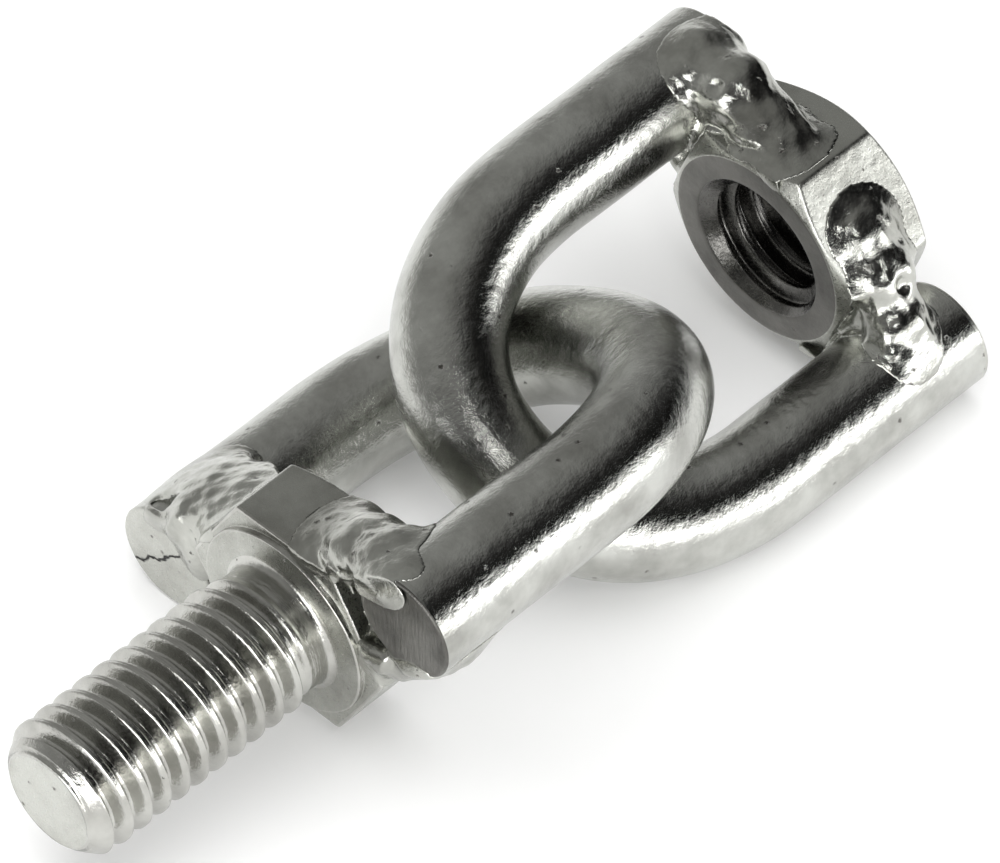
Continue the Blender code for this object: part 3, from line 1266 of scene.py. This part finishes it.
def net_points(values: Array) -> tuple[Array, Array]:
    """Puts one point into each cell of a grid that a field's zero crosses.

    Args:
        values: the field on a grid, negative inside.

    Returns:
        The points in grid units, and each cell's point number, or -1.
    """
    cells = tuple(size - 1 for size in values.shape)
    total = np.zeros(cells + (3,))
    count = np.zeros(cells)
    for axis in range(3):
        others = [other for other in range(3) if other != axis]
        for first, second in ((0, 0), (0, 1), (1, 0), (1, 1)):
            corner = [0, 0, 0]
            corner[others[0]], corner[others[1]] = first, second
            low = values[tuple(slice(c, c + n) for c, n in zip(corner, cells))]
            ahead = list(corner)
            ahead[axis] = 1
            high = values[tuple(slice(c, c + n) for c, n in zip(ahead, cells))]
            crosses = (low < 0) != (high < 0)
            share = np.where(crosses, low / np.where(crosses, low - high, 1.0), 0.0)
            for part in range(3):
                offset = share if part == axis else corner[part] * 1.0
                total[..., part] += np.where(crosses, offset, 0.0)
            count += crosses
    active = count > 0
    numbers = np.full(cells, -1)
    numbers[active] = np.arange(int(active.sum()))
    base = np.stack(np.nonzero(active), axis=-1)
    return base + total[active] / count[active][:, None], numbers


def net_faces(values: Array, numbers: Array) -> list:
    """Joins the points of the four cells round each grid edge that the surface crosses.

    Args:
        values: the field on a grid, negative inside.
        numbers: each cell's point number, or -1.

    Returns:
        The faces, as point numbers.
    """
    faces = []
    inner = tuple(slice(1, size - 1) for size in values.shape)
    for axis in range(3):
        first, second = [other for other in range(3) if other != axis]
        crosses = (values < 0) != (np.roll(values, -1, axis) < 0)
        mask = np.zeros_like(crosses)
        mask[inner] = crosses[inner]
        places = np.stack(np.nonzero(mask), axis=-1)
        corners = []
        for back_first, back_second in ((1, 1), (0, 1), (0, 0), (1, 0)):
            cell = places.copy()
            cell[:, first] -= back_first
            cell[:, second] -= back_second
            corners.append(numbers[tuple(cell.T)])
        quads = np.stack(corners, axis=-1)
        faces += quads[(quads >= 0).all(axis=1)].tolist()
    return faces


def relax(piece: bpy.types.Object, times: int) -> None:
    """Evens out the small steps of a mesh that was grown on a grid.

    Args:
        piece: the piece to change.
        times: how many times each point moves towards its neighbours.
    """
    maker = bmesh.new()
    maker.from_mesh(piece.data)
    for _ in range(times):
        bmesh.ops.smooth_vert(maker, verts=maker.verts, factor=0.5, use_axis_x=True,
                              use_axis_y=True, use_axis_z=True)
    maker.to_mesh(piece.data)
    maker.free()


# ---------------------------------------------------------------- links


@dataclass
class BoltLink:
    """The bolt welded between the legs of its bow. All sizes are in millimetres.

    Fields:
        finishes: the materials by name.
        stud_length: washer face to tip.
        drop: how far the bolt's axis lies below the bow's plane.
        width: between the legs' centre lines.
        reach: from the washer face to the crown's centre line.
        crown: how much of the reach the rounded crown takes.
        starts: where the near and the far leg begin.
    """

    finishes: dict[str, bpy.types.Material]
    stud_length: float = 19.8
    drop: float = 1.6
    width: float = 26.4
    reach: float = 28.6
    crown: float = 13.9
    starts: tuple[float, float] = (0.2, 1.6)

    def link_frame(self) -> LinkFrame:
        """Finds the link's frame from the bolt's box and the joint.

        Returns:
            The frame, with its origin on the washer face in the bow's plane.
        """
        joint = frame["joints"][0]
        crown_at = Vector(joint["pos_m"])
        origin = Vector((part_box("hex_bolt")[0].x + self.stud_length * MM, crown_at.y, crown_at.z))
        return LinkFrame(origin, math.atan2(joint["axis"][1], joint["axis"][2]), False)

    def beads(self) -> tuple[Bead, ...]:
        """Lists the bolt's four beads.

        Returns:
            The beads, the near leg's first.
        """
        return (
            Bead("bolt_weld_near_top", -1, 1, 0.6, 6.2, 3.4,
                 (Lump(3.3, 5.6, 3.6, 2.5, 2.1, 1.15), Lump(3.0, 8.3, 3.2, 2.6, 1.9, 1.6),
                  Lump(2.7, 10.9, 3.2, 2.5, 1.9, 1.4), Lump(1.5, 12.7, 2.6, 1.4, 1.8, 1.2)),
                 (Lump(2.3, 8.9, 5.0, 0.6, 0.5, 0.5),)),
            Bead("bolt_weld_near_bottom", -1, -1, 0.8, 6.0, 3.4,
                 (Lump(3.0, 8.4, 3.9, 2.8, 2.8, 1.9), Lump(3.4, 11.6, 3.8, 2.8, 2.4, 1.3),
                  Lump(0.4, 8.6, 2.9, 0.6, 0.9, 0.6))),
            Bead("bolt_weld_far_top", 1, 1, 0.8, 7.6, 3.4,
                 (Lump(4.4, 6.0, 3.9, 3.0, 2.8, 1.2), Lump(4.7, 9.4, 3.5, 3.3, 2.8, 1.6),
                  Lump(5.3, 12.0, 3.0, 2.8, 2.0, 1.1), Lump(1.9, 9.0, 1.2, 1.1, 1.6, 2.2)),
                 (Lump(2.4, 11.5, 4.2, 0.45, 1.2, 1.0),)),
            Bead("bolt_weld_far_bottom", 1, -1, 0.8, 6.2, 3.4,
                 (Lump(3.4, 8.2, 3.3, 2.6, 2.0, 1.3),)),
        )

    def build(self) -> None:
        """Builds and seats every piece of the link."""
        place = self.link_frame()
        bolt = Bolt(place, self.finishes, stud_length=self.stud_length, drop=self.drop)
        seat(bolt.build(), Body.BOLT, Slot.FASTENER, "hex_bolt")
        bow = Bow("bolt_bow_fine", place, self.finishes, self.width, self.reach, self.crown,
                  self.starts, (EndCut.SHEARED, EndCut.CRACKED), 3)
        seat(bow.build(), Body.BOLT, Slot.BAR, "bolt_bow")
        beads = self.beads()
        welds = Welds(place, self.finishes, beads, bolt.hexagon, bolt.washer_face,
                      bolt.head_height, self.drop, self.width, self.starts)
        for bead, piece in zip(beads, welds.build()):
            seat(piece, Body.BOLT, Slot.WELD, bead.name)


@dataclass
class NutLink:
    """The nut welded between the legs of its bow. All sizes are in millimetres.

    Fields:
        finishes: the materials by name.
        width: between the legs' centre lines.
        reach: from the nut's inner face to the crown's centre line.
        crown: how much of the reach the rounded crown takes.
        starts: where the legs at -y and at +y begin.
        turn: degrees that the nut is turned in its bow.
    """

    finishes: dict[str, bpy.types.Material]
    width: float = 22.8
    reach: float = 23.7
    crown: float = 14.9
    starts: tuple[float, float] = (-6.0, -6.9)
    turn: float = 8.6

    def link_frame(self) -> LinkFrame:
        """Finds the link's frame from the nut's box and the joint.

        Returns:
            The frame, with its origin on the nut's inner face in the bow's plane.
        """
        low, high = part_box("hex_nut")
        joint = frame["joints"][0]
        origin = Vector((low.x, (low.y + high.y) / 2, (low.z + high.z) / 2))
        return LinkFrame(origin, -math.atan2(joint["axis"][1], joint["axis"][2]), True)

    def beads(self) -> tuple[Bead, ...]:
        """Lists the nut's four beads. Its near leg is at +y in its own, reversed frame.

        Returns:
            The beads, the near leg's first.
        """
        return (
            Bead("nut_weld_near_top", 1, 1, -5.6, -0.8, 2.6,
                 (Lump(-3.4, 3.1, 6.0, 2.2, 2.3, 1.5), Lump(-3.1, 6.2, 5.0, 2.2, 2.1, 1.7),
                  Lump(-2.5, 9.2, 3.9, 2.1, 1.9, 1.4), Lump(-2.0, 11.0, 3.0, 1.7, 1.5, 1.1),
                  Lump(-2.9, 7.6, 1.4, 1.7, 1.1, 1.8)),
                 (Lump(-3.2, 7.8, 6.2, 0.6, 0.6, 0.6),)),
            Bead("nut_weld_near_bottom", 1, -1, -5.6, -2.0, 3.0,
                 (Lump(-2.9, 7.5, 3.6, 2.1, 1.9, 1.2), Lump(-2.9, 7.6, 1.2, 1.7, 1.1, 1.8))),
            Bead("nut_weld_far_top", -1, 1, -5.4, -0.9, 2.6,
                 (Lump(-3.7, 11.0, 3.5, 2.5, 2.3, 1.5), Lump(-3.5, 8.4, 4.7, 2.4, 2.3, 2.1),
                  Lump(-3.1, 5.4, 5.5, 2.3, 2.2, 1.6), Lump(-2.8, 3.0, 6.8, 1.8, 1.6, 0.8),
                  Lump(-2.9, 7.6, 1.4, 1.7, 1.1, 1.8)),
                 (Lump(-1.5, 9.4, 6.0, 0.6, 0.5, 0.6),)),
            Bead("nut_weld_far_bottom", -1, -1, -5.2, -1.4, 2.6,
                 (Lump(-3.3, 7.8, 4.0, 2.0, 1.9, 1.2),)),
        )

    def build(self) -> None:
        """Builds and seats every piece of the link."""
        place = self.link_frame()
        nut = Nut(place, self.finishes, Hexagon(self.turn))
        seat(nut.build(), Body.NUT, Slot.FASTENER, "hex_nut")
        bow = Bow("nut_bow_fine", place, self.finishes, self.width, self.reach, self.crown,
                  self.starts, (EndCut.PRESSED, EndCut.PRESSED), 8)
        seat(bow.build(), Body.NUT, Slot.BAR, "nut_bow")
        beads = self.beads()
        welds = Welds(place, self.finishes, beads, nut.hexagon, -nut.height, 0.0, 0.0,
                      self.width, self.starts)
        for bead, piece in zip(beads, welds.build()):
            seat(piece, Body.NUT, Slot.WELD, bead.name)


def seat(piece: bpy.types.Object, body: Body, slot: Slot, node: str) -> None:
    """Makes a piece ride on its body in place of its CAD node, and reports it.

    Args:
        piece: the finished piece.
        body: the link that it rides on.
        slot: the record's slot for its finish; not used.
        node: the CAD node that it stands for.
    """
    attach(piece, body.value)
    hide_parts(node)
    LOG.info("%s rides on %s: %d faces", piece.name, body.value, len(piece.data.polygons))


# ---------------------------------------------------------------- studio


@dataclass(frozen=True)
class AreaLight:
    """A rectangular softbox.

    Fields:
        name: the light's name.
        at: its centre, in metres.
        towards: the point that it faces.
        size: width and height, in metres.
        power: watts.
        mirrored: True if polished metal shows it.
    """

    name: str
    at: tuple[float, float, float]
    towards: tuple[float, float, float]
    size: tuple[float, float]
    power: float
    mirrored: bool = True

    def build(self) -> None:
        """Adds the light to the scene."""
        data = bpy.data.lights.new(self.name, "AREA")
        data.shape = "RECTANGLE"
        data.size, data.size_y = self.size
        data.energy = self.power
        light = bpy.data.objects.new(self.name, data)
        light.location = self.at
        facing = Vector(self.towards) - Vector(self.at)
        light.rotation_euler = facing.to_track_quat("-Z", "Y").to_euler()
        light.visible_glossy = self.mirrored
        bpy.context.scene.collection.objects.link(light)


# The bank lights the table. The softbox, glow and panel are the white streaks in the metal,
# and the key is a small glint.
LIGHTS = (
    AreaLight("overhead_bank", (0.0, 0.0, 0.9), (0, 0, 0), (1.2, 1.2), 9.5, False),
    AreaLight("front_softbox", (0.15, -0.75, 0.105), (0, 0, 0.02), (1.3, 0.11), 3.4),
    AreaLight("front_glow", (0.15, -0.74, 0.235), (0, 0, 0.02), (1.3, 0.14), 0.9),
    AreaLight("side_panel", (-0.66, -0.27, 0.17), (0, 0, 0.02), (0.75, 0.26), 3.6),
    AreaLight("key_spot", (-0.24, -0.47, 0.73), (0, 0, 0.01), (0.10, 0.10), 0.5),
)


@dataclass
class Studio:
    """A pale table in soft light, seen through a long lens.

    Fields:
        azimuth: degrees that the camera stands round from the front.
        elevation: degrees above the table.
        roll: degrees that the camera leans.
        distance: from the target, in metres.
        target: the point at the middle of the view, in metres.
        lens: focal length in millimetres.
        sensor: sensor width in millimetres.
        table_size: half the table's width, in metres.
        table_gap: how far the table lies under the coupling, in metres.
    """

    azimuth: float = -43.57
    elevation: float = 48.56
    roll: float = -2.03
    distance: float = 0.7474
    target: tuple[float, float, float] = (0.0070, 0.0023, 0.0062)
    lens: float = 432.0
    sensor: float = 36.0
    table_size: float = 3.0
    table_gap: float = 0.0001

    def build(self) -> None:
        """Sets up the camera, the table and the light."""
        self._add_camera()
        self._add_table()
        for light in LIGHTS:
            light.build()
        self._add_surroundings()
        bpy.context.scene.view_settings.view_transform = "Standard"

    def _add_camera(self) -> None:
        """Places the camera by azimuth, elevation and roll about its target."""
        azimuth, elevation = math.radians(self.azimuth), math.radians(self.elevation)
        back = Vector((math.sin(azimuth) * math.cos(elevation),
                       -math.cos(azimuth) * math.cos(elevation), math.sin(elevation)))
        right = Vector((math.cos(azimuth), math.sin(azimuth), 0))
        turn = Matrix.Rotation(math.radians(self.roll), 3, back)
        right = turn @ right
        up = back.cross(right)
        data = bpy.data.cameras.new("camera")
        data.lens, data.sensor_width = self.lens, self.sensor
        camera = bpy.data.objects.new("camera", data)
        pose = Matrix((right, up, back)).transposed().to_4x4()
        pose.translation = Vector(self.target) + back * self.distance
        camera.matrix_world = pose
        bpy.context.scene.collection.objects.link(camera)
        bpy.context.scene.camera = camera

    def _add_table(self) -> None:
        """Adds the table: matt white paper, which lights the metal from below."""
        corners = np.array([[-1, -1, 0], [1, -1, 0], [1, 1, 0], [-1, 1, 0]]) * self.table_size
        paper = bpy.data.materials.new("matt_white_paper")
        paper.use_nodes = True
        shader = paper.node_tree.nodes["Principled BSDF"]
        shader.inputs["Base Color"].default_value = linear("F6F6F6")
        shader.inputs["Emission Color"].default_value = linear("FFFFFF")
        shader.inputs["Emission Strength"].default_value = 0.12
        shader.inputs["Roughness"].default_value = 0.9
        shader.inputs["Specular IOR Level"].default_value = 0.1
        table = mesh_object("table", corners, [(0, 1, 2, 3)], [0], [paper])
        table.location.z = -self.table_gap

    def _add_surroundings(self) -> None:
        """Makes the room pale behind and above, and dark in front, which blackens the metal."""
        world = bpy.data.worlds.new("studio")
        bpy.context.scene.world = world
        world.use_nodes = True
        tree = world.node_tree
        sky = tree.nodes["Background"]
        direction = add_node(tree, "TexCoord").outputs["Generated"]
        towards_light = Vector((-0.1, 0.62, 0.78)).normalized()
        facing = add_node(tree, "VectorMath", {"operation": "DOT_PRODUCT"},
                          {1: tuple(towards_light)}, {0: direction})
        ramp = add_node(tree, "ValToRGB", links={"Fac": facing.outputs["Value"]})
        set_ramp(ramp, [(0.0, linear("161616")), (0.28, linear("262626")), (0.45, linear("5C5C5B")),
                        (0.6, linear("868685")), (0.85, linear("9C9C9A")), (1.0, linear("A4A4A2"))])
        # A paler band round the room's horizon, except towards the dark side.
        height = add_node(tree, "SeparateXYZ", links={"Vector": direction}).outputs["Z"]
        low = add_node(tree, "MapRange", {"interpolation_type": "SMOOTHSTEP"},
                       {"From Min": 0.0, "From Max": 0.42, "To Min": 0.8, "To Max": 0.0},
                       {"Value": height})
        behind = add_node(tree, "MapRange", {"interpolation_type": "SMOOTHSTEP"},
                          {"From Min": 0.1, "From Max": 0.6, "To Min": 0.0, "To Max": 1.0},
                          {"Value": facing.outputs["Value"]})
        share = add_node(tree, "Math", {"operation": "MULTIPLY"}, None,
                         {0: low.outputs["Result"], 1: behind.outputs["Result"]})
        glow = add_node(tree, "MixRGB", None, {"Color2": linear("E8E8E6")},
                        {"Fac": share.outputs["Value"], "Color1": ramp.outputs["Color"]})
        tree.links.new(glow.outputs["Color"], sky.inputs["Color"])


def main() -> None:
    """Builds the coupling and its studio."""
    logging.basicConfig(level=logging.INFO, format="%(message)s")
    finishes = {name: plate.build() for name, plate in vars(Finishes()).items()}
    BoltLink(finishes).build()
    NutLink(finishes).build()
    Studio().build()


if __name__ == "__main__":
    main()
